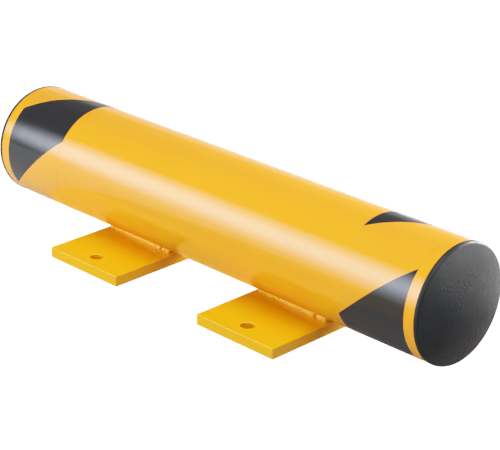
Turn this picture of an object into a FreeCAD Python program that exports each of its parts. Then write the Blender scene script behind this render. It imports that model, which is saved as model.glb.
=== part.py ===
"""Floor-mounted steel guard bar: a horizontal tube welded to two bolt-down plates, with push-in end caps.

Frame: millimetres, +Z up, X along the tube, the floor at z = 0 and the origin midway between the plates.
Angles round the tube are measured from straight up (0) over the front, -Y (90), to straight down (180).
"""

import FreeCAD, Part
import math
import os

from FreeCAD import Vector

# ---- driving dimensions, in millimetres and degrees ----
tube_od = 159.0
tube_wall = 4.5
tube_length = 800.0
tube_end_chamfer = 0.6

plate_width = 140.0  # along the tube
plate_depth = 270.0  # across the tube
plate_thickness = 15.0
tube_overhang = 180.0  # from a plate's outer edge to the tube's end
plate_corner_radius = 1.5
plate_edge_break = 0.8
anchor_hole_d = 18.0
anchor_hole_inset = 25.0  # from a hole's axis to the plate's end, one hole each side of the tube
anchor_hole_chamfer = 1.0

weld_root_height = 2.5  # gap between tube and plate where the weld metal starts
weld_toe_height = 6.5  # how high the bead climbs the tube
weld_toe_run = 2.2  # how far the bead's foot stands out past its top edge
weld_crown = 1.0  # bulge of the bead's face
weld_start_inset = 2.0  # from the plate's edge to the first run
weld_end_inset = {"left": 8.0, "right": 6.0}  # from the last tack to the plate's other edge
weld_gap = 1.0  # between the run and the tack that follows it
tack_length = {"left": 12.5, "right": 17.0}

cap_rim_overhang = 0.5  # radially, past the tube
cap_side_length = 1.0  # straight part of the rim's outer face
cap_edge_radius = 5.0  # rounding that runs from the rim's side into the dome
cap_height = 19.0  # from the tube's end to the middle of the dome
cap_wall = 4.0
cap_skirt_length = 40.0
cap_skirt_wall = 3.5
cap_skirt_clearance = 2.2  # radially, between the skirt and the bore
cap_fin_clearance = 0.1  # radially, between a fin's tip and the bore
cap_fin_count = 4
cap_fin_root = 2.6
cap_fin_tip = 1.2
cap_fin_pitch = 8.5
cap_lead_in = 2.0  # taper at the skirt's free end
cap_gusset_count = 8
cap_gusset_thickness = 2.5
cap_gusset_leg = 12.0
cap_dimple_d = 2.0  # moulding gate
cap_dimple_depth = 1.5
cap_dimple_inset = 10.0  # from the rim's outer edge to the dimple's axis
cap_dimple_angle = 240.5

film_thickness = 0.25
band_width = 110.0
band_end_margin = 17.0  # from the tube's end to the band
film_lap = 10.0  # overlap, along the tube's surface
film_seam_angle = {"left": 17.0, "right": 250.0}  # where the free end lies

# ---- derived places ----
tube_r = tube_od / 2
bore_r = tube_r - tube_wall
axis_z = plate_thickness + tube_r
tube_end = tube_length / 2
plate_centre = tube_end - tube_overhang - plate_width / 2
anchor_hole_y = plate_depth / 2 - anchor_hole_inset
SIDES = {"left": -1, "right": 1}


def about_axis(shape, angle):
    """shape turned by angle about the tube's axis, from straight up towards the front."""
    turned = shape.copy()
    turned.rotate(Vector(0, 0, axis_z), Vector(1, 0, 0), angle)
    return turned


def x_cylinder(radius, length, start):
    """A cylinder on the tube's axis."""
    return Part.makeCylinder(radius, length, Vector(start, 0, axis_z), Vector(1, 0, 0))


def write(name, shape):
    shape.exportStep(os.path.join("parts", name + ".step"))


# ---- tube ----
def make_tube():
    outer = x_cylinder(tube_r, tube_length, -tube_end)
    tube = outer.cut(x_cylinder(bore_r, tube_length, -tube_end))
    rims = [e for e in tube.Edges if isinstance(e.Curve, Part.Circle)]
    return tube.makeChamfer(tube_end_chamfer, rims)


# ---- floor plates ----
def make_plate(side):
    centre = SIDES[side] * plate_centre
    corner = Vector(centre - plate_width / 2, -plate_depth / 2, 0)
    plate = Part.makeBox(plate_width, plate_depth, plate_thickness, corner)
    uprights = [e for e in plate.Edges if abs(e.tangentAt(e.FirstParameter).z) > 0.99]
    plate = plate.makeFillet(plate_corner_radius, uprights)
    top = max(plate.Faces, key=lambda f: f.CenterOfMass.z)
    plate = plate.makeFillet(plate_edge_break, top.OuterWire.Edges)
    for y in (-anchor_hole_y, anchor_hole_y):
        hole = Part.makeCylinder(anchor_hole_d / 2, plate_thickness, Vector(centre, y, 0))
        mouth_base = Vector(centre, y, plate_thickness - anchor_hole_chamfer)
        mouth_r = anchor_hole_d / 2 + anchor_hole_chamfer
        mouth = Part.makeCone(anchor_hole_d / 2, mouth_r, anchor_hole_chamfer, mouth_base)
        plate = plate.cut(hole).cut(mouth)
    return plate


# ---- welds ----
def tube_half_width(height):
    """Half the tube's width at a height above the plates."""
    return math.sqrt(tube_r**2 - (tube_r - height) ** 2)


def weld_section(x):
    """The bead's section in the wedge between plate and tube, on the front."""
    root_y = -tube_half_width(weld_root_height)
    toe_y = -tube_half_width(weld_toe_height)
    middle_height = (weld_root_height + weld_toe_height) / 2
    root_foot = Vector(x, root_y, plate_thickness)
    root_top = Vector(x, root_y, plate_thickness + weld_root_height)
    on_tube = Vector(x, -tube_half_width(middle_height), plate_thickness + middle_height)
    toe_top = Vector(x, toe_y, plate_thickness + weld_toe_height)
    toe_foot = Vector(x, toe_y - weld_toe_run, plate_thickness)
    outward = Vector(0, -weld_toe_height, weld_toe_run).normalize()
    crown = (toe_top + toe_foot) * 0.5 + outward * weld_crown
    edges = [
        Part.makeLine(root_foot, root_top),
        Part.Arc(root_top, on_tube, toe_top).toShape(),
        Part.Arc(toe_top, crown, toe_foot).toShape(),
        Part.makeLine(toe_foot, root_foot),
    ]
    return Part.Face(Part.Wire(edges))


def make_weld(start, length, front):
    bead = weld_section(start).extrude(Vector(length, 0, 0))
    return bead if front else bead.mirror(Vector(0, 0, 0), Vector(0, 1, 0))


def plate_welds(side, front):
    """The long run and the tack that finishes it, along one edge of the tube on one plate."""
    edge = SIDES[side] * plate_centre - plate_width / 2
    run_start = edge + weld_start_inset
    tack_start = edge + plate_width - weld_end_inset[side] - tack_length[side]
    return {
        "weld": make_weld(run_start, tack_start - weld_gap - run_start, front),
        "tack": make_weld(tack_start, tack_length[side], front),
    }


# ---- end caps ----
def dome_radius(rim_r):
    """Radius of the dome's sphere, which the rim's rounded edge meets without a crease."""
    rise = cap_height - cap_side_length
    return (rise**2 + rim_r**2 - 2 * rim_r * cap_edge_radius) / (2 * (rise - cap_edge_radius))


def cap_fin_points(skirt_r):
    """The skirt's outline from the rim to its free end, with tapered fins, as (depth, radius)."""
    tip_r = bore_r - cap_fin_clearance
    points = []
    for i in range(cap_fin_count):
        middle = cap_skirt_length - cap_lead_in - cap_fin_root - i * cap_fin_pitch
        points += [
            (middle + cap_fin_root / 2, skirt_r),
            (middle + cap_fin_tip / 2, tip_r),
            (middle - cap_fin_tip / 2, tip_r),
            (middle - cap_fin_root / 2, skirt_r),
        ]
    return list(reversed(points))


def make_cap_at_right():
    """The cap on the +X end: domed head, finned skirt, inner gussets."""
    rim_r = tube_r + cap_rim_overhang
    skirt_r = bore_r - cap_skirt_clearance
    inner_r = skirt_r - cap_skirt_wall
    sphere_r = dome_radius(rim_r)
    sphere_x = tube_end + cap_height - sphere_r
    inner_sphere_r = sphere_r - cap_wall

    def at(x, r):
        return Vector(x, 0, axis_z + r)

    def on_sphere(radius, r):
        return at(sphere_x + math.sqrt(radius**2 - r**2), r)

    rim_edge = at(tube_end + cap_side_length, rim_r)
    edge_centre = at(tube_end + cap_side_length, rim_r - cap_edge_radius)
    to_dome = (edge_centre - at(sphere_x, 0)).normalize()
    half_way = (to_dome + Vector(0, 0, 1)).normalize()
    edge_middle = edge_centre + half_way * cap_edge_radius
    dome_edge = edge_centre + to_dome * cap_edge_radius
    skirt_end = tube_end - cap_skirt_length
    outline = [at(tube_end, rim_r), at(tube_end, skirt_r)]
    outline += [at(tube_end - depth, r) for depth, r in cap_fin_points(skirt_r)]
    outline += [
        at(skirt_end + cap_lead_in, skirt_r),
        at(skirt_end, skirt_r - cap_lead_in / 2),
        at(skirt_end, inner_r),
        on_sphere(inner_sphere_r, inner_r),
    ]
    edges = [Part.makeLine(a, b) for a, b in zip(outline, outline[1:])]
    apex = at(sphere_x + sphere_r, 0)
    inner_apex = at(sphere_x + inner_sphere_r, 0)
    inner_middle = on_sphere(inner_sphere_r, inner_r / 2)
    edges.append(Part.Arc(outline[-1], inner_middle, inner_apex).toShape())
    edges.append(Part.makeLine(inner_apex, apex))
    dome_middle = on_sphere(sphere_r, rim_r / 2)
    edges.append(Part.Arc(apex, dome_middle, dome_edge).toShape())
    edges.append(Part.Arc(dome_edge, edge_middle, rim_edge).toShape())
    edges.append(Part.makeLine(rim_edge, outline[0]))
    cap = Part.Face(Part.Wire(edges)).revolve(Vector(0, 0, axis_z), Vector(1, 0, 0), 360)

    gusset = make_gusset(inner_r, on_sphere(inner_sphere_r, inner_r).x)
    for i in range(cap_gusset_count):
        cap = cap.fuse(about_axis(gusset, i * 360 / cap_gusset_count))
    return cap.removeSplitter()


def make_gusset(inner_r, corner_x):
    """A triangular web in the corner between the skirt's wall and the head, pointing straight up."""
    overlap = cap_wall / 2
    y = -cap_gusset_thickness / 2
    corner = Vector(corner_x + overlap, y, axis_z + inner_r + overlap)
    down_wall = Vector(corner_x - cap_gusset_leg, y, axis_z + inner_r + overlap)
    wall_foot = Vector(corner_x - cap_gusset_leg, y, axis_z + inner_r)
    across_head = Vector(corner_x, y, axis_z + inner_r - cap_gusset_leg)
    head_foot = Vector(corner_x + overlap, y, axis_z + inner_r - cap_gusset_leg)
    outline = [corner, down_wall, wall_foot, across_head, head_foot, corner]
    web = Part.Face(Part.makePolygon(outline))
    return web.extrude(Vector(0, cap_gusset_thickness, 0))


def make_cap(side):
    """The cap for one end, with the gate dimple near its rim."""
    rim_r = tube_r + cap_rim_overhang
    dimple_r = rim_r - cap_dimple_inset
    sphere_r = dome_radius(rim_r)
    surface_x = tube_end + cap_height - sphere_r + math.sqrt(sphere_r**2 - dimple_r**2)
    foot = Vector(surface_x - cap_dimple_depth, 0, axis_z + dimple_r)
    dimple = Part.makeCylinder(cap_dimple_d / 2, cap_height, foot, Vector(1, 0, 0))
    cap = make_cap_at_right().cut(about_axis(dimple, cap_dimple_angle))
    return cap if side == "right" else cap.mirror(Vector(0, 0, 0), Vector(1, 0, 0))


# ---- marking film ----
def ring_sector(start_x, inner_r, thickness, start_angle, sweep):
    """A band-wide sector of a ring, laid round the tube's axis over sweep degrees."""
    corners = [
        Vector(start_x, 0, axis_z + inner_r),
        Vector(start_x + band_width, 0, axis_z + inner_r),
        Vector(start_x + band_width, 0, axis_z + inner_r + thickness),
        Vector(start_x, 0, axis_z + inner_r + thickness),
    ]
    face = Part.Face(Part.makePolygon(corners + corners[:1]))
    sector = face.revolve(Vector(0, 0, axis_z), Vector(1, 0, 0), sweep)
    return about_axis(sector, start_angle)


def make_film(side):
    """One turn of printed film, with its free end lapped over its start."""
    start_x = {"left": band_end_margin - tube_end, "right": tube_end - band_end_margin - band_width}[side]
    lap_sweep = math.degrees(film_lap / tube_r)
    lap_start = film_seam_angle[side] - lap_sweep
    turn = ring_sector(start_x, tube_r, film_thickness, lap_start, 360)
    lap = ring_sector(start_x, tube_r + film_thickness, film_thickness, lap_start, lap_sweep)
    return turn.fuse(lap)


def main():
    os.makedirs("parts", exist_ok=True)
    write("tube", make_tube())
    for side in SIDES:
        write(f"{side}_floor_plate", make_plate(side))
        write(f"{side}_end_cap", make_cap(side))
        for edge in ("front", "rear"):
            for kind, solid in plate_welds(side, edge == "front").items():
                write(f"{side}_{edge}_{kind}", solid)
        write(f"{side}_hazard_film", make_film(side))


main()
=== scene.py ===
"""Looks for the low guard bar: coated tube and plates, weld beads, striped film, plastic end caps.

Metres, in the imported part's frame: +X along the tube, -Y to the front, the floor at z = 0.
Angles round the tube, in degrees, run from straight up (0) over the front (90) to straight down.
"""

import math

import bmesh
import bpy
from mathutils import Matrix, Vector, noise


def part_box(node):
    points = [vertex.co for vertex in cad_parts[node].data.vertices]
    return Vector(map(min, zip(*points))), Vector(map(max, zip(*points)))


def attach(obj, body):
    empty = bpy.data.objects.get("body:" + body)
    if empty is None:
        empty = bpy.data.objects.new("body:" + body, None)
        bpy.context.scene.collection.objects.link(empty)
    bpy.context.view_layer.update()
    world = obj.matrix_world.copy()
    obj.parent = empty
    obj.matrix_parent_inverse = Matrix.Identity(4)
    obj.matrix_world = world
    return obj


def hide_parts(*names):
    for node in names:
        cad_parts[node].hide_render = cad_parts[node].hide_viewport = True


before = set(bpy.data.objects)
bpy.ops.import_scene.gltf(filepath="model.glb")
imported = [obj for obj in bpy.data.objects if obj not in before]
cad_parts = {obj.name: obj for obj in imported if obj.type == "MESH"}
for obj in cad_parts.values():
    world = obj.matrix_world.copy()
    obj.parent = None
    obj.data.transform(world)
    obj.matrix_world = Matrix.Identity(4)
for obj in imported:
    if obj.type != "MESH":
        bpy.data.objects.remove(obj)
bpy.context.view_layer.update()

# ---- sides and main sizes ----
SIDES = ("left", "right")
EDGES = {"front": -1, "rear": 1}
TUBE_R = 0.0795
BORE_R = 0.075
TUBE_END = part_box("tube")[1].x
PLATE_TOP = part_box("left_floor_plate")[1].z
AXIS_Z = PLATE_TOP + TUBE_R

X_AXIS = Vector((1, 0, 0))
Y_AXIS = Vector((0, 1, 0))
Z_AXIS = Vector((0, 0, 1))

# ---- mesh helpers ----
ON_AXIS = 1e-7  # a radius below this is a point on the axis
ROUND_STEPS = 4


def polar(x, radius, angle):
    """The point at that radius and angle round the tube's axis."""
    turn = math.radians(angle)
    return Vector((x, -radius * math.sin(turn), AXIS_Z + radius * math.cos(turn)))


def arc(centre, radius, start, end, steps):
    """Points (a, b) along an arc about centre, from start to end degrees, both ends included."""
    turns = [math.radians(start + (end - start) * i / steps) for i in range(steps + 1)]
    return [(centre[0] + radius * math.cos(t), centre[1] + radius * math.sin(t)) for t in turns]


def ring(bm, centre, radius, segments, first, second):
    """A circle of vertices about centre, in the plane of the unit vectors first and second."""
    turns = [2 * math.pi * i / segments for i in range(segments)]
    ways = [first * math.cos(t) + second * math.sin(t) for t in turns]
    return [bm.verts.new(centre + way * radius) for way in ways]


def skin(bm, loops):
    """Joins equal loops of vertices side by side, and closes the first and the last."""
    for near, far in zip(loops, loops[1:]):
        for i in range(len(near)):
            j = (i + 1) % len(near)
            bm.faces.new((near[i], near[j], far[j], far[i]))
    bm.faces.new(list(reversed(loops[0])))
    bm.faces.new(loops[-1])


def revolve(bm, profile, segments, closed=True, material_of=None):
    """Turns (x, radius) points round the tube's axis. A point on the axis becomes one vertex."""
    rings = []
    for x, radius in profile:
        count = 1 if radius < ON_AXIS else segments
        rings.append([bm.verts.new(polar(x, radius, 360 * i / segments)) for i in range(count)])
    pairs = list(zip(rings, rings[1:]))
    if closed:
        pairs.append((rings[-1], rings[0]))
    for index, (low, high) in enumerate(pairs):
        for i in range(segments):
            j = (i + 1) % segments
            around = ((low, i), (low, j), (high, j), (high, i))
            corners = [loop[k % len(loop)] for loop, k in around]
            face = bm.faces.new(list(dict.fromkeys(corners)))
            if material_of:
                face.material_index = material_of(index)


def add_object(name, bm, *materials):
    """A mesh object from bm, with its faces turned outwards."""
    bmesh.ops.recalc_face_normals(bm, faces=bm.faces)
    mesh = bpy.data.meshes.new(name)
    bm.to_mesh(mesh)
    bm.free()
    for material in materials:
        mesh.materials.append(material)
    obj = bpy.data.objects.new(name, mesh)
    bpy.context.scene.collection.objects.link(obj)
    return obj


def apply_modifiers(obj):
    bpy.context.view_layer.update()
    evaluated = obj.evaluated_get(bpy.context.evaluated_depsgraph_get())
    finished = bpy.data.meshes.new_from_object(evaluated)
    finished.name = obj.name
    obj.modifiers.clear()
    obj.data = finished


def cut(obj, cutter):
    """Takes cutter out of obj, and removes cutter."""
    modifier = obj.modifiers.new("cut", "BOOLEAN")
    modifier.object = cutter
    modifier.solver = "EXACT"
    apply_modifiers(obj)
    bpy.data.objects.remove(cutter)


def smooth(obj, sharp_angle=40):
    """Smooth shading that stays sharp past an angle and follows the larger faces."""
    obj.data.shade_smooth()
    obj.data.set_sharp_from_angle(angle=math.radians(sharp_angle))
    obj.modifiers.new("weighted", "WEIGHTED_NORMAL").keep_sharp = True
    apply_modifiers(obj)


def finish_piece(obj, body, slot, *nodes):
    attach(obj, body)
    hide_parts(*nodes)


# ---- material helpers ----
class Surface:
    """A material with one Principled shader, and short names for the nodes that feed it."""

    def __init__(self, name, **settings):
        self.material = bpy.data.materials.new(name)
        self.material.use_nodes = True
        self.nodes = self.material.node_tree.nodes
        self.links = self.material.node_tree.links
        self.shader = self.nodes["Principled BSDF"]
        for socket, value in settings.items():
            self.shader.inputs[socket.replace("_", " ")].default_value = value
        self.place = self.nodes.new("ShaderNodeTexCoord").outputs["Object"]

    def noise(self, scale, detail=2.0, stretch=(1, 1, 1)):
        mapping = self.nodes.new("ShaderNodeMapping")
        mapping.inputs["Scale"].default_value = stretch
        self.links.new(self.place, mapping.inputs["Vector"])
        texture = self.nodes.new("ShaderNodeTexNoise")
        texture.inputs["Scale"].default_value = scale
        texture.inputs["Detail"].default_value = detail
        self.links.new(mapping.outputs["Vector"], texture.inputs["Vector"])
        return texture.outputs["Fac"]

    def spots(self, scale):
        """Distance to the nearest of many scattered points."""
        texture = self.nodes.new("ShaderNodeTexVoronoi")
        texture.inputs["Scale"].default_value = scale
        self.links.new(self.place, texture.inputs["Vector"])
        return texture.outputs["Distance"]

    def ramp(self, value, low=0, high=1, from_low=0.3, from_high=0.7):
        """value, from from_low..from_high to low..high, kept inside them."""
        scaled = self.nodes.new("ShaderNodeMapRange")
        spans = {"From Min": from_low, "From Max": from_high, "To Min": low, "To Max": high}
        for socket, number in spans.items():
            scaled.inputs[socket].default_value = number
        self.links.new(value, scaled.inputs["Value"])
        return scaled.outputs["Result"]

    def product(self, first, second):
        node = self.nodes.new("ShaderNodeMath")
        node.operation = "MULTIPLY"
        self.links.new(first, node.inputs[0])
        self.links.new(second, node.inputs[1])
        return node.outputs[0]

    def feed(self, socket, value):
        self.links.new(value, self.shader.inputs[socket])

    def tint(self, colour, factor, amount):
        """Base colour that goes from colour to factor times colour as amount goes from 0 to 1."""
        mix = self.nodes.new("ShaderNodeMix")
        mix.data_type = "RGBA"
        self.links.new(amount, mix.inputs["Factor"])
        for name, scale in (("A", 1), ("B", factor)):
            socket = next(s for s in mix.inputs if s.name == name and s.type == "RGBA")
            socket.default_value = (*(scale * c for c in colour), 1)
        self.feed("Base Color", next(s for s in mix.outputs if s.type == "RGBA"))

    def bump(self, *layers):
        """Layers of (height, depth in metres), one over the other."""
        under = None
        for height, depth in layers:
            node = self.nodes.new("ShaderNodeBump")
            node.inputs["Distance"].default_value = depth
            self.links.new(height, node.inputs["Height"])
            if under:
                self.links.new(under, node.inputs["Normal"])
            under = node.outputs["Normal"]
        self.feed("Normal", under)


# ---- materials ----
COAT_YELLOW = (0.80, 0.297, 0.006)
# The plates' yellow is the coat's, made yellower: painted light that offsets the orange light the
# tube bounces onto the plates.
PLATE_YELLOW = (0.80, 0.365, 0.002)
# The weld's yellow is the coat's, lightened and turned golden: painted light for the light and
# golden highlights the bead catches in the tube's shade.
WELD_YELLOW_LIGHTENED = (0.9, 0.45, 0.01)
FILM_YELLOW = (0.80, 0.297, 0.009)
FILM_BLACK = (0.012, 0.012, 0.014)
CAP_BLACK = (0.008, 0.0085, 0.009)
STEEL = (0.22, 0.20, 0.18)
GLOSS = 0.8  # specular level of paint and film
CLOUD = 0.95  # share of their colour that is left in the darkest clouds
DULLING = 0.06  # how much their roughness varies


def powder_coat(name, colour=COAT_YELLOW, rough=0.08, ripple=0.00002):
    """Glossy paint with fine orange peel. ripple is the depth of the finer waves."""
    surface = Surface(name, Specular_IOR_Level=GLOSS)
    surface.tint(colour, CLOUD, surface.ramp(surface.noise(9, detail=3)))
    dull = surface.ramp(surface.noise(35, detail=3), low=rough, high=rough + DULLING)
    surface.feed("Roughness", dull)
    surface.bump((surface.noise(420, detail=1), ripple), (surface.noise(60, detail=1), 2 * ripple))
    return surface.material


def printed_film(name, colour, rough):
    """Glossy film with slight ripples that run along the tube."""
    surface = Surface(name, Specular_IOR_Level=GLOSS)
    surface.tint(colour, CLOUD, surface.ramp(surface.noise(14, detail=4)))
    dull = surface.ramp(surface.noise(50, detail=3), low=rough, high=rough + DULLING)
    surface.feed("Roughness", dull)
    waves = surface.noise(55, detail=1, stretch=(0.35, 1, 1))
    surface.bump((waves, 0.00004), (surface.noise(900, detail=0), 0.000006))
    return surface.material


def cap_plastic():
    """Matt moulded plastic: a fine grain, with specks in patches."""
    surface = Surface(
        "cap_plastic", Specular_IOR_Level=0.3, Sheen_Weight=0.02, Sheen_Roughness=0.35
    )
    surface.tint(CAP_BLACK, 1.6, surface.ramp(surface.noise(30, detail=4)))
    surface.feed("Roughness", surface.ramp(surface.noise(160, detail=4), low=0.46, high=0.54))
    patchy = surface.ramp(surface.noise(28, detail=3), from_low=0.45, from_high=0.62)
    specks = surface.product(surface.spots(420), patchy)
    grain = surface.noise(300, detail=2)
    fine_grain = surface.noise(800, detail=3)
    surface.bump((grain, 0.00008), (fine_grain, 0.0001), (specks, 0.0003))
    return surface.material


def mill_steel():
    """Bare steel with streaks along the tube."""
    surface = Surface("mill_steel", Metallic=0.7)
    streak = surface.ramp(surface.noise(40, detail=4, stretch=(0.1, 1, 1)))
    surface.tint(STEEL, 0.6, streak)
    surface.feed("Roughness", surface.ramp(streak, low=0.45, high=0.7, from_low=0, from_high=1))
    surface.bump((surface.noise(300, detail=3), 0.00003))
    return surface.material


coat = powder_coat("powder_coat")
plate_coat = powder_coat("plate_coat", colour=PLATE_YELLOW)
# The weld's coat carries painted light in its lighter, more golden colour.
weld_coat = powder_coat("weld_coat", colour=WELD_YELLOW_LIGHTENED, rough=0.15, ripple=0.00004)
film_yellow = printed_film("film_yellow", FILM_YELLOW, rough=0.10)
film_black = printed_film("film_black", FILM_BLACK, rough=0.13)
plastic = cap_plastic()
steel = mill_steel()

# ---- tube ----
RIM_ROUND = 0.0006
TUBE_SEGMENTS = 256
TUBE_STATIONS = 24


def make_tube():
    outer_end = TUBE_END - RIM_ROUND
    outer = [(outer_end * (2 * i / TUBE_STATIONS - 1), TUBE_R) for i in range(1, TUBE_STATIONS)]
    right = arc((outer_end, TUBE_R - RIM_ROUND), RIM_ROUND, 90, 0, ROUND_STEPS)
    right += arc((outer_end, BORE_R + RIM_ROUND), RIM_ROUND, 0, -90, ROUND_STEPS)
    left = [(-x, radius) for x, radius in reversed(right)]
    bore = [(-x, BORE_R) for x, _ in outer]
    bore_start = len(outer) + len(right) - 1
    bore_end = bore_start + len(bore)

    def bare_in_bore(index):
        return int(bore_start <= index <= bore_end)

    bm = bmesh.new()
    revolve(bm, outer + right + bore + left, TUBE_SEGMENTS, material_of=bare_in_bore)
    tube = add_object("coated_tube", bm, coat, steel)
    smooth(tube)
    finish_piece(tube, "guard", "powder_coat", "tube")


# ---- floor plates ----
PLATE_CORNER = 0.0015
PLATE_EDGE = 0.0009
HOLE_R = 0.009
HOLE_MOUTH = 0.001
HOLE_INSET = 0.025
HOLE_SEGMENTS = 64
LEVEL = 1e-6  # an edge that rises less than this is level


def hole_cutter(x, y, low, high):
    """A bar whose upper end flares out in an arc, for a hole with a rounded mouth."""
    flare = arc((HOLE_R + HOLE_MOUTH, high - HOLE_MOUTH), HOLE_MOUTH, 180, 90, ROUND_STEPS)
    profile = [(HOLE_R, low - HOLE_MOUTH)] + flare + [(HOLE_R + 2 * HOLE_MOUTH, high + HOLE_MOUTH)]
    bm = bmesh.new()
    rings = []
    for radius, z in profile:
        rings.append(ring(bm, Vector((x, y, z)), radius, HOLE_SEGMENTS, X_AXIS, Y_AXIS))
    skin(bm, rings)
    return add_object("cutter", bm)


def is_level(edge):
    return abs(edge.verts[0].co.z - edge.verts[1].co.z) < LEVEL


def make_plate(side):
    low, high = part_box(f"{side}_floor_plate")
    bm = bmesh.new()
    bmesh.ops.create_cube(bm, size=1)
    for vert in bm.verts:
        vert.co = Vector([low[i] if vert.co[i] < 0 else high[i] for i in range(3)])
    uprights = [edge for edge in bm.edges if not is_level(edge)]
    bmesh.ops.bevel(
        bm, geom=uprights, offset=PLATE_CORNER, segments=4, profile=0.5, affect="EDGES"
    )
    rims = [edge for edge in bm.edges if is_level(edge)]
    bmesh.ops.bevel(bm, geom=rims, offset=PLATE_EDGE, segments=3, profile=0.5, affect="EDGES")
    plate = add_object(f"{side}_plate", bm, plate_coat)
    for y in (low.y + HOLE_INSET, high.y - HOLE_INSET):
        cut(plate, hole_cutter((low.x + high.x) / 2, y, low.z, high.z))
    smooth(plate, sharp_angle=30)
    finish_piece(plate, "guard", "powder_coat", f"{side}_floor_plate")


# ---- weld beads ----
BEAD_STEP = 0.0004
BEAD_POINTS = 18
BEAD_TOP = 0.0070  # height of the toe on the tube
BEAD_FOOT = 0.0333  # reach of the foot on the plate, from the middle
BEAD_ROOT = 0.002  # height of the wedge between tube and plate where the bead begins
BEAD_CROWN = 0.0013
BEAD_BACK = 0.0018  # height of the back edge, in the wedge
BEAD_SINK = 0.0006  # how far the underside goes into the plate
BEAD_REACH = 0.0006  # run and tack just meet
BEAD_TAPER = 0.0026  # length of each rounded end
BEAD_END_SIZE = 0.55
BEAD_SWELL = 0.15
FULL_AT = 0.8  # where along a leaning bead its section has its full size
RIPPLE_PITCH = 0.0038
RIPPLE_HEIGHT = 0.0016
RIPPLE_BOW = 0.0022  # how far each ripple bows forward
RIPPLE_WANDER = 0.0009
RIPPLE_UNEVEN = 0.6
RIPPLE_MEAN = 0.6
RIPPLE_SHARPNESS = 0.7  # below 1, narrow valleys between broad ridges
SPATTER_HEIGHT = 0.00015
LIFT_RISE = 0.5  # how much a lift outwards also goes up


def tube_half_width(height):
    """How far out the tube's surface is, at a height above the plate."""
    return math.sqrt(TUBE_R**2 - (TUBE_R - height) ** 2)


def bulge(t):
    """0 at both ends of a span and 1 in its middle."""
    return 4 * t * (1 - t)


def wobble(*place):
    return noise.noise(Vector(place))


def bead_face(size):
    """Points (reach, height) up the bead's bulging face, from the plate to the tube."""
    root = tube_half_width(BEAD_ROOT)
    top = BEAD_TOP * size
    foot = root + (BEAD_FOOT - root) * size
    toe = tube_half_width(top)
    slope = Vector((toe - foot, top)).normalized()
    outward = Vector((slope.y, -slope.x))
    points = []
    for i in range(BEAD_POINTS + 1):
        t = i / BEAD_POINTS
        along = Vector((foot + (toe - foot) * t, top * t))
        points.append(along + outward * BEAD_CROWN * size * bulge(t))
    return points


def bead_size(x, start, end, seed, lean):
    """The section's size at x: less at the rounded ends, and growing by lean along the bead."""
    from_end = min((x - start) / BEAD_TAPER, (end - x) / BEAD_TAPER, 1)
    taper = math.sqrt(max(0.0, 1 - (1 - from_end) ** 2))
    growth = lean * ((x - start) / (end - start) - FULL_AT)
    swell = 1 + BEAD_SWELL * wobble(x * 150, seed, 0) + growth
    return (BEAD_END_SIZE + (1 - BEAD_END_SIZE) * taper) * swell


def ripple_lift(x, t, seed, size):
    """How far the ripples lift the face at x, t of the way up, with fine spatter on them."""
    wander = RIPPLE_WANDER * wobble(x * 160, seed + 7, 0)
    phase = (x - RIPPLE_BOW * bulge(t) + wander) / RIPPLE_PITCH
    ripple = abs(math.sin(math.pi * phase)) ** RIPPLE_SHARPNESS - RIPPLE_MEAN
    uneven = 1 + RIPPLE_UNEVEN * wobble(x * 240, t * 2, seed + 3)
    spatter = SPATTER_HEIGHT * wobble(x * 900, t * 3, seed)
    return RIPPLE_HEIGHT * ripple * uneven * math.sin(math.pi * t) * size + spatter


def make_bead(name, node, edge, seed, lean):
    """A fillet bead with the crescent ripples that each pause of the torch leaves."""
    low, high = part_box(node)
    sign = EDGES[edge]
    start, end = low.x - BEAD_REACH, high.x + BEAD_REACH
    root = tube_half_width(BEAD_ROOT)
    count = round((end - start) / BEAD_STEP)
    bm = bmesh.new()
    sections = []
    for s in range(count + 1):
        x = start + (end - start) * s / count
        size = bead_size(x, start, end, seed, lean)
        face = bead_face(size)
        outline = []
        for i, point in enumerate(face):
            lift = ripple_lift(x, i / BEAD_POINTS, seed, size)
            outline.append((point.x + lift, point.y + LIFT_RISE * lift))
        outline += [(root, BEAD_BACK), (root, -BEAD_SINK), (face[0].x, -BEAD_SINK)]
        sections.append([bm.verts.new((x, sign * y, PLATE_TOP + z)) for y, z in outline])
    skin(bm, sections)
    bead = add_object(name, bm, weld_coat)
    smooth(bead, sharp_angle=70)
    finish_piece(bead, "guard", "weld", node)


# ---- hazard film ----
FILM_THICKNESS = 0.00018
FILM_GLUE = 0.00003
FILM_LAP = 0.010
LAP_EASE = 0.0012  # over this length the film climbs onto its own start
CURL_LENGTH = 0.004
CURL_HEIGHT = 0.0003
FILM_SEAM = {"left": 17, "right": 250}
STRIPE_LEAN = {"left": 71, "right": 70}  # how far a stripe turns across the band
BLACK_START = {"left": 36.3, "right": 113.4}  # first black edge, at the band's -X side
STRIPE_TURN = 90
FILM_COLUMNS = 240
FILM_ROWS = 8


def film_lift(arc_length, turn_length):
    """How far the film's underside stands off the tube: the lapped end rides over the start."""
    past = arc_length - turn_length
    climb = min(max(past / LAP_EASE + 1, 0), 1)
    curl = max(past - (FILM_LAP - CURL_LENGTH), 0) / CURL_LENGTH
    return FILM_THICKNESS * climb + FILM_GLUE + CURL_HEIGHT * curl**2


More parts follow.
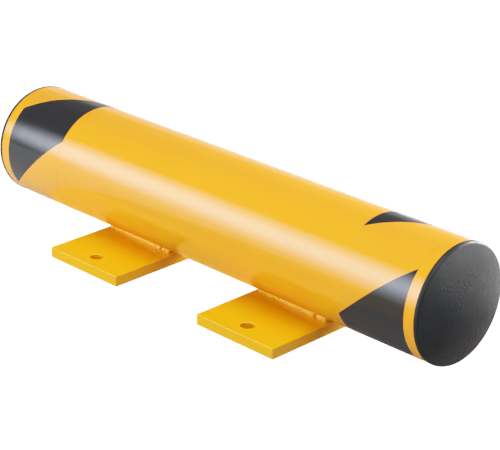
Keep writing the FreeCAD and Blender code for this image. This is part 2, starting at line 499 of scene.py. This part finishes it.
def make_film(side):
    """A flat printed sheet, cut along its stripes' edges, wrapped round the tube and lapped."""
    low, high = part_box(f"{side}_hazard_film")
    width = high.x - low.x
    turn_length = 2 * math.pi * TUBE_R
    length = turn_length + FILM_LAP
    start_angle = FILM_SEAM[side] - math.degrees(FILM_LAP / TUBE_R)
    bm = bmesh.new()
    columns = [length * i / FILM_COLUMNS for i in range(FILM_COLUMNS + 1)]
    rows = [low.x + width * j / FILM_ROWS for j in range(FILM_ROWS + 1)]
    grid = [[bm.verts.new((x, a, 0)) for x in rows] for a in columns]
    for near, far in zip(grid, grid[1:]):
        for j in range(FILM_ROWS):
            bm.faces.new((near[j], near[j + 1], far[j + 1], far[j]))

    def print_phase(x, a):
        """Stripes passed at a point of the flat sheet: black from 0 to 1, yellow from 1 to 2."""
        angle = start_angle + math.degrees(a / TUBE_R)
        lean = STRIPE_LEAN[side] * (x - low.x) / width
        return (angle + lean - BLACK_START[side]) / STRIPE_TURN

    slope = math.radians(STRIPE_LEAN[side]) * TUBE_R / width
    across_stripe = Vector((slope, 1, 0)).normalized()
    first = math.floor(print_phase(low.x, 0))
    last = math.ceil(print_phase(high.x, length))
    for stripe in range(first, last + 1):
        angle = stripe * STRIPE_TURN + BLACK_START[side] - start_angle
        on_edge = Vector((low.x, math.radians(angle) * TUBE_R, 0))
        geometry = bm.verts[:] + bm.edges[:] + bm.faces[:]
        bmesh.ops.bisect_plane(
            bm, geom=geometry, dist=1e-7, plane_co=on_edge, plane_no=across_stripe
        )
    for face in bm.faces:
        middle = face.calc_center_median()
        face.material_index = math.floor(print_phase(middle.x, middle.y)) % 2
    for vert in bm.verts:
        x, a, _ = vert.co
        angle = start_angle + math.degrees(a / TUBE_R)
        vert.co = polar(x, TUBE_R + film_lift(a, turn_length), angle)
    film = add_object(f"{side}_film", bm, film_black, film_yellow)
    sample = film.data.polygons[0]
    radial = Vector((0, sample.center.y, sample.center.z - AXIS_Z))
    if sample.normal.dot(radial) < 0:
        film.data.flip_normals()
    solid = film.modifiers.new("thickness", "SOLIDIFY")
    solid.thickness = FILM_THICKNESS
    solid.offset = 1
    apply_modifiers(film)
    smooth(film, sharp_angle=50)
    finish_piece(film, "guard", "film", f"{side}_hazard_film")


# ---- end caps ----
RIM_R = 0.080
RIM_SIDE = 0.001
LIP_LENGTH = 0.0009  # a thin edge that laps over the tube's end
LIP_EDGE = 0.0002
LIP_GAP = 0.0001
EDGE_RADIUS = 0.005
CAP_HEIGHT = 0.019
CAP_WALL = 0.004
SKIRT_LENGTH = 0.040
SKIRT_R = 0.0728
SKIRT_WALL = 0.0035
SKIRT_ROUND = 0.0005
LEAD_IN = 0.002
FIN_R = 0.0749
FIN_COUNT = 4
FIN_ROOT = 0.0026
FIN_TIP = 0.0012
FIN_PITCH = 0.0085
GUSSET_COUNT = 8
GUSSET_THICKNESS = 0.0025
GUSSET_LEG = 0.012
DIMPLE_R = 0.0013
DIMPLE_DEPTH = 0.002
DIMPLE_PLACE = 0.070
DIMPLE_ANGLE = 240.5
DIMPLE_SEGMENTS = 24
CAP_SEGMENTS = 192
DOME_STEPS = 40
EDGE_STEPS = 12
INSIDE_STEPS = 24

# The head is a sphere that runs tangent into the rounded edge.
RIM_X = TUBE_END + RIM_SIDE
RISE = CAP_HEIGHT - RIM_SIDE
SPHERE_R = (RISE**2 + RIM_R**2 - 2 * RIM_R * EDGE_RADIUS) / (2 * (RISE - EDGE_RADIUS))
SPHERE_X = TUBE_END + CAP_HEIGHT - SPHERE_R
INNER_SPHERE_R = SPHERE_R - CAP_WALL
EDGE_ANGLE = math.degrees(math.atan2(RIM_R - EDGE_RADIUS, RIM_X - SPHERE_X))
DOME_EDGE_R = SPHERE_R * math.sin(math.radians(EDGE_ANGLE))
SKIRT_INNER_R = SKIRT_R - SKIRT_WALL


def on_sphere(sphere_radius, radius):
    """The point (x, radius) on a sphere about the dome's centre."""
    return (SPHERE_X + math.sqrt(sphere_radius**2 - radius**2), radius)


def cap_profile():
    """The cap's section as (x, radius), from the dome's middle outwards and back inside."""
    dome = [on_sphere(SPHERE_R, DOME_EDGE_R * i / DOME_STEPS) for i in range(DOME_STEPS)]
    corner = arc((RIM_X, RIM_R - EDGE_RADIUS), EDGE_RADIUS, EDGE_ANGLE, 90, EDGE_STEPS)
    lip_x = TUBE_END - LIP_LENGTH
    lip = [
        (lip_x + LIP_EDGE, RIM_R),
        (lip_x, RIM_R - LIP_EDGE),
        (lip_x, TUBE_R + LIP_GAP),
        (TUBE_END, TUBE_R + LIP_GAP),
    ]
    skirt_end = TUBE_END - SKIRT_LENGTH
    skirt = [(TUBE_END, SKIRT_R)]
    for i in reversed(range(FIN_COUNT)):
        middle = skirt_end + LEAD_IN + FIN_ROOT + i * FIN_PITCH
        skirt.append((middle + FIN_ROOT / 2, SKIRT_R))
        skirt += arc((middle, FIN_R - FIN_TIP / 2), FIN_TIP / 2, 0, 180, 6)
        skirt.append((middle - FIN_ROOT / 2, SKIRT_R))
    skirt += [(skirt_end + LEAD_IN, SKIRT_R), (skirt_end, SKIRT_R - LEAD_IN / 2)]
    corner_place = (skirt_end + SKIRT_ROUND, SKIRT_INNER_R + SKIRT_ROUND)
    skirt += arc(corner_place, SKIRT_ROUND, 180, 270, 3)
    inside = []
    for i in range(INSIDE_STEPS + 1):
        inside.append(on_sphere(INNER_SPHERE_R, SKIRT_INNER_R * (1 - i / INSIDE_STEPS)))
    return dome + corner + lip + skirt + inside


def gusset(bm, angle):
    """A triangular web in the corner between skirt and head."""
    corner_x, _ = on_sphere(INNER_SPHERE_R, SKIRT_INNER_R)
    sink = CAP_WALL / 4
    outline = [
        (corner_x + sink, SKIRT_INNER_R + sink),
        (corner_x - GUSSET_LEG, SKIRT_INNER_R + sink),
        (corner_x - GUSSET_LEG, SKIRT_INNER_R),
        (corner_x, SKIRT_INNER_R - GUSSET_LEG),
        (corner_x + CAP_WALL / 2, SKIRT_INNER_R - GUSSET_LEG),
    ]
    turn = math.radians(angle)
    half = Vector((0, math.cos(turn), math.sin(turn))) * GUSSET_THICKNESS / 2
    sides = []
    for shift in (half, -half):
        sides.append([bm.verts.new(polar(x, r, angle) + shift) for x, r in outline])
    skin(bm, sides)


def dimple_cutter():
    """A short plug that narrows inwards, square to the end of the bar."""
    surface_x, _ = on_sphere(SPHERE_R, DIMPLE_PLACE)
    mouth = polar(surface_x, DIMPLE_PLACE, DIMPLE_ANGLE)
    bm = bmesh.new()
    rings = []
    for out, spread in ((-1, 0.7), (0, 1), (1, 1.3)):
        centre = mouth + X_AXIS * DIMPLE_DEPTH * out
        rings.append(ring(bm, centre, DIMPLE_R * spread, DIMPLE_SEGMENTS, Y_AXIS, Z_AXIS))
    skin(bm, rings)
    return add_object("cutter", bm)


def make_cap(side):
    bm = bmesh.new()
    revolve(bm, cap_profile(), CAP_SEGMENTS, closed=False)
    cap = add_object(f"{side}_cap_moulding", bm, plastic)
    cut(cap, dimple_cutter())
    webs = bmesh.new()
    webs.from_mesh(cap.data)
    for i in range(GUSSET_COUNT):
        gusset(webs, i * 360 / GUSSET_COUNT)
    if side == "left":
        bmesh.ops.scale(webs, vec=(-1, 1, 1), verts=webs.verts)
        bmesh.ops.reverse_faces(webs, faces=webs.faces)
    webs.to_mesh(cap.data)
    webs.free()
    smooth(cap, sharp_angle=35)
    finish_piece(cap, f"{side}_cap", "cap_plastic", f"{side}_end_cap")


# ---- studio ----
CAMERA_PLACE = (1.6517, -1.5680, 1.0456)
CAMERA_YAW = 45.77
CAMERA_PITCH = 23.07
CAMERA_LENS = 131.42

WHITE = (1, 1, 1)
# An orange glow for a painted warm reflection under the bar, on a table top seen only in gloss.
PAINTED_REFLECTION_GLOW = (1.0, 0.42, 0.04)
ROOM_GREY = (0.2, 0.2, 0.2)
ROOM_GLOW = 2.2
ROOM_HALF = 12
ROOM_TALL = 9
WORLD_GLOW = 0.24

FLOOR_Z = -0.0006
BOUNCE_Z = -0.0004
TABLE_Z = -0.0003

# Sheets seen only in the object's shade. Their colours are painted light and shade of the floor:
# bright to the left, dark under the middle of the bar for painted shade, and cool-tinted to the
# right.
# name, left, right, near, far, colour
BOUNCES = (
    ("left_bounce", -2.4, -0.25, -2.4, 2.4, (0.7, 0.7, 0.7)),
    ("painted_shade_bounce", -0.25, 0.22, -2.4, 2.4, (0.2, 0.2, 0.2)),
    ("right_bounce", 0.22, 2.4, -2.4, 2.4, (0.42, 0.45, 0.52)),
)
# Table tops seen only in the object's gloss. Their colours are painted light and shade of the
# floor: bright to the left and back, yellow-tinted near the bar for painted light bounced off it,
# an orange glowing sheet under the bar for a painted warm reflection, dim under the right end and
# dark to the right for painted shade.
# name, left, right, near, far, colour, glow
TABLES = (
    ("left_table", -2.5, -0.36, -2.0, 0.2, (0.55, 0.55, 0.55), 0.0),
    ("painted_bounce_table", -0.36, 0.45, -2.0, -0.2, (0.36, 0.30, 0.18), 0.0),
    ("painted_glow_table", -0.36, 0.2, -0.2, 0.2, (0.25, 0.20, 0.12), 1.4),
    ("band_table", 0.2, 0.45, -0.2, 0.2, (0.26, 0.24, 0.22), 0.0),
    ("painted_shade_table", 0.45, 2.5, -2.0, 0.15, (0.05, 0.05, 0.055), 0.0),
    ("back_table", -2.5, 0.75, 0.2, 2.5, (0.85, 0.85, 0.85), 0.0),
)

# The key is a nest of boxes that soften its edge. A gap keeps them from hiding each other.
KEY_COLOUR = (0.92, 0.98, 1.10)
KEY_WIDTH = 2.4
KEY_PLACE = Vector((-1.5, -1.81, 0.90))
KEY_TARGET = Vector((-1.5, 0, 0.1))
KEY_GAP = 0.02
KEY_STEPS = ((0.5, 3.6), (0.9, 8.6), (1.3, 10.9), (1.7, 14.3), (2.1, 17.6))  # height, power
# name, place, target, width, height, power
BOXES = (
    ("front_fill", (0.0, -2.0, 0.22), (0, 0, 0.06), 2.2, 0.35, 7),
    ("top_box", (0.9, -0.3, 2.3), (0.3, 0, 0), 1.8, 1.4, 64),
    ("front_box", (0.1, -2.4, 0.7), (0, 0, 0.05), 1.4, 0.8, 19),
    ("back_box", (0.5, 2.5, 0.8), (0.4, 0, 0.1), 1.6, 0.9, 205),
    ("back_left_box", (-1.9, 2.1, 0.5), (0, 0, 0.15), 3.0, 0.9, 4),
    ("right_box", (2.2, 1.3, 0.4), (0.3, 0, 0.1), 1.2, 0.6, 33),
)
UNREFLECTED_BOXES = ("front_fill",)

WHITE_LEVEL = 2.0
FILM_CURVE = ((0.3, 0.3), (0.5, 0.49), (0.75, 0.635), (1.0, 0.765), (1.3, 0.885), (1.65, 0.945))


def make_camera():
    camera = bpy.data.cameras.new("camera")
    camera.lens = CAMERA_LENS
    camera.sensor_width = 36
    camera.clip_end = 50
    obj = bpy.data.objects.new("camera", camera)
    obj.location = CAMERA_PLACE
    obj.rotation_euler = (math.radians(90 - CAMERA_PITCH), 0, math.radians(CAMERA_YAW))
    bpy.context.scene.collection.objects.link(obj)
    bpy.context.scene.camera = obj


def soft_box(name, place, target, width, height, power, colour=WHITE):
    light = bpy.data.lights.new(name, "AREA")
    light.shape = "RECTANGLE"
    light.size = width
    light.size_y = height
    light.energy = power
    light.color = colour
    obj = bpy.data.objects.new(name, light)
    obj.location = place
    direction = Vector(target) - Vector(place)
    obj.rotation_euler = direction.to_track_quat("-Z", "Y").to_euler()
    obj.visible_camera = False
    obj.visible_glossy = name not in UNREFLECTED_BOXES
    bpy.context.scene.collection.objects.link(obj)


def make_lights():
    for i, (height, power) in enumerate(KEY_STEPS):
        back = Vector((0, -KEY_GAP * i, 0))
        place, target = KEY_PLACE + back, KEY_TARGET + back
        soft_box(f"key_box_{i}", place, target, KEY_WIDTH, height, power, KEY_COLOUR)
    for row in BOXES:
        soft_box(*row)


def stage_sheet(name, corners, colour, glow, seen_in, glow_colour=WHITE):
    """A flat sheet of the studio, seen in the camera, the object's shade or its gloss."""
    bm = bmesh.new()
    bm.faces.new([bm.verts.new(corner) for corner in corners])
    surface = Surface(name, Base_Color=(*colour, 1), Roughness=0.9, Specular_IOR_Level=0.0)
    surface.shader.inputs["Emission Color"].default_value = (*glow_colour, 1)
    surface.shader.inputs["Emission Strength"].default_value = glow
    sheet = add_object(name, bm, surface.material)
    sheet.visible_camera = seen_in == "camera"
    sheet.visible_diffuse = seen_in == "shade"
    sheet.visible_glossy = seen_in == "gloss"
    sheet.visible_shadow = False


def flat(left, right, near, far, z):
    """The corners of a level rectangle."""
    return [(left, near, z), (right, near, z), (right, far, z), (left, far, z)]


def make_room():
    """White floor and walls for the camera, and table tops for the object's shade and gloss, whose
    colours are painted light and shade of the floor.
    """
    floor = flat(-ROOM_HALF, ROOM_HALF, -ROOM_HALF, ROOM_HALF, FLOOR_Z)
    stage_sheet("floor", floor, ROOM_GREY, ROOM_GLOW, "camera")
    foot = flat(-ROOM_HALF, ROOM_HALF, -ROOM_HALF, ROOM_HALF, 0)
    head = flat(-ROOM_HALF, ROOM_HALF, -ROOM_HALF, ROOM_HALF, ROOM_TALL)
    for i in range(4):
        j = (i + 1) % 4
        wall = [foot[i], foot[j], head[j], head[i]]
        stage_sheet(f"wall_{i}", wall, ROOM_GREY, ROOM_GLOW, "camera")
    for name, *rectangle, colour in BOUNCES:
        stage_sheet(name, flat(*rectangle, BOUNCE_Z), colour, 0.0, "shade")
    for name, *rectangle, colour, glow in TABLES:
        stage_sheet(name, flat(*rectangle, TABLE_Z), colour, glow, "gloss", PAINTED_REFLECTION_GLOW)


def make_world():
    world = bpy.data.worlds.new("studio")
    world.use_nodes = True
    background = world.node_tree.nodes["Background"]
    background.inputs["Color"].default_value = (*WHITE, 1)
    background.inputs["Strength"].default_value = WORLD_GLOW
    bpy.context.scene.world = world


def set_film_curve():
    """Bright tones roll off as they do on film, and reach white at WHITE_LEVEL."""
    view = bpy.context.scene.view_settings
    view.view_transform = "Standard"
    view.use_curve_mapping = True
    mapping = view.curve_mapping
    mapping.white_level = (WHITE_LEVEL,) * 3
    tones = mapping.curves[3].points
    for light, tone in FILM_CURVE:
        tones.new(light / WHITE_LEVEL, tone)
    mapping.update()


# ---- assembly ----
BEAD_LEANS = {"weld": 0.5, "tack": 0.0}  # how much each kind grows from its start to its end

make_camera()
make_room()
make_world()
set_film_curve()
make_lights()
make_tube()
seed = 0
for side in SIDES:
    make_plate(side)
    make_film(side)
    make_cap(side)
    for edge in EDGES:
        for kind, lean in BEAD_LEANS.items():
            seed += 1
            node = f"{side}_{edge}_{kind}"
            make_bead(f"{node}_bead", node, edge, seed, lean)
